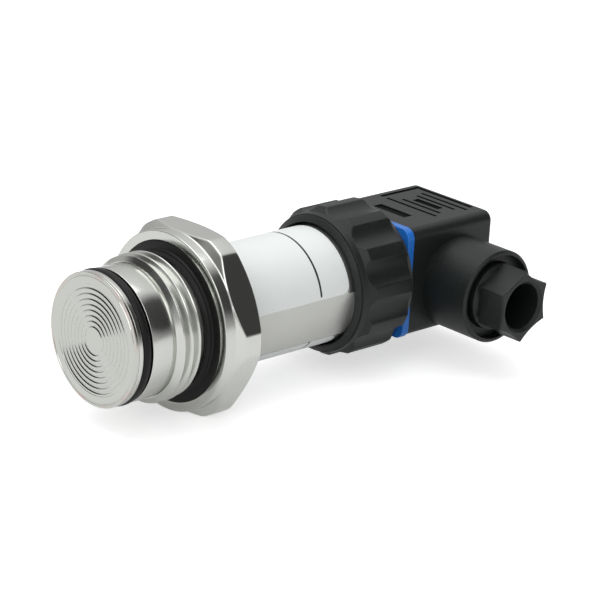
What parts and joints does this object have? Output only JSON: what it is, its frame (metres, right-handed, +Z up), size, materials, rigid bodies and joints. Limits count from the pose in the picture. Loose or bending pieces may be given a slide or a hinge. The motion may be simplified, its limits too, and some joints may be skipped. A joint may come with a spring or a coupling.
{
  "type": "flush diaphragm pressure transmitter",
  "caption": "Pressure transmitter with a flush corrugated diaphragm, threaded hexagon connection, steel case, lobed union nut and right-angle plug.",
  "frame": {"origin": "centre of the diaphragm's front face, on the nose axis", "axes": "+X along the axis from the diaphragm to the plug, +Z up, and the cable outlet faces -Y"},
  "size_m": [0.1084, 0.057, 0.041],
  "materials": {
    "turned_steel": "finely turned and machined",
    "diaphragm_steel": "smooth foil with a soft sheen",
    "seal_rubber": "matte black elastomer",
    "label_film": "satin white film with a thin black line",
    "black_plastic": "fine grained moulding",
    "blue_silicone": "satin bright blue",
    "tinned_brass": "tinned",
    "brass": "satin",
    "header_steel": "satin",
    "gold_pin": "gold plated",
    "glass": "dark sealing glass",
    "ceramic": "fired, unglazed",
    "silicon": "polished die",
    "board_green": "solder mask",
    "chip_black": "moulded package",
    "capacitor_can": "drawn can",
    "zinc_screw": "zinc plated",
    "insert_grey": "glass filled moulding"
  },
  "bodies": {
    "transmitter": {"process_connection": "turned_steel", "flush_diaphragm": "diaphragm_steel", "nose_o_ring": "seal_rubber", "profile_seal": "seal_rubber", "sensor_header": "header_steel", "sensor_chip": "silicon", "ceramic_spacer": "ceramic", "glass_seals": "glass", "header_pins": "gold_pin", "fill_ball": "header_steel", "header_ring": "header_steel", "adapter_board": "board_green", "circuit_board": "board_green", "board_chips": "chip_black", "board_capacitors": "capacitor_can", "board_holder": "insert_grey", "case_tube": "turned_steel", "case_label": "label_film"},
    "connector": {"connector_base": "insert_grey", "base_seal": "seal_rubber", "clamp_ring": "black_plastic", "contact_blades": "tinned_brass", "earth_blade": "tinned_brass", "screw_bush": "brass", "base_gasket": "blue_silicone"},
    "case_nut": {"union_nut": "black_plastic"},
    "plug": {"plug_housing": "black_plastic", "terminal_insert": "insert_grey", "terminal_clips": "tinned_brass", "terminal_screws": "zinc_screw", "screw_seal": "seal_rubber", "gland_seal": "seal_rubber"},
    "plug_screw": {"fixing_screw": "zinc_screw"},
    "thrust_washer": {"gland_washer": "insert_grey"},
    "cable_nut": {"gland_nut": "black_plastic"}
  },
  "joints": [
    {"name": "connector_travel", "type": "slide", "parent": "transmitter", "child": "connector", "axis": [1, 0, 0], "range_m": [0, 0.00525]},
    {"name": "union_nut_turn", "type": "hinge", "parent": "connector", "child": "case_nut", "pos_m": [0.0712, 0, 0], "axis": [1, 0, 0], "range_deg": [0, 1260.5]},
    {"name": "plug_pull", "type": "slide", "parent": "connector", "child": "plug", "axis": [1, 0, 0], "range_m": [0, 0.025]},
    {"name": "fixing_screw_turn", "type": "hinge", "parent": "plug", "child": "plug_screw", "pos_m": [0.09, 0, 0], "axis": [1, 0, 0], "continuous": true},
    {"name": "washer_travel", "type": "slide", "parent": "plug", "child": "thrust_washer", "axis": [0, -1, 0], "range_m": [0, 0.0045]},
    {"name": "cable_nut_turn", "type": "hinge", "parent": "thrust_washer", "child": "cable_nut", "pos_m": [0.0972, -0.0272, -0.002], "axis": [0, -1, 0], "range_deg": [0, 1080.5]}
  ],
  "couplings": [
    {"joint": "union_nut_turn", "follows": "connector_travel", "rad_per_m": 4188.8},
    {"joint": "cable_nut_turn", "follows": "washer_travel", "rad_per_m": 4188.8}
  ]
}
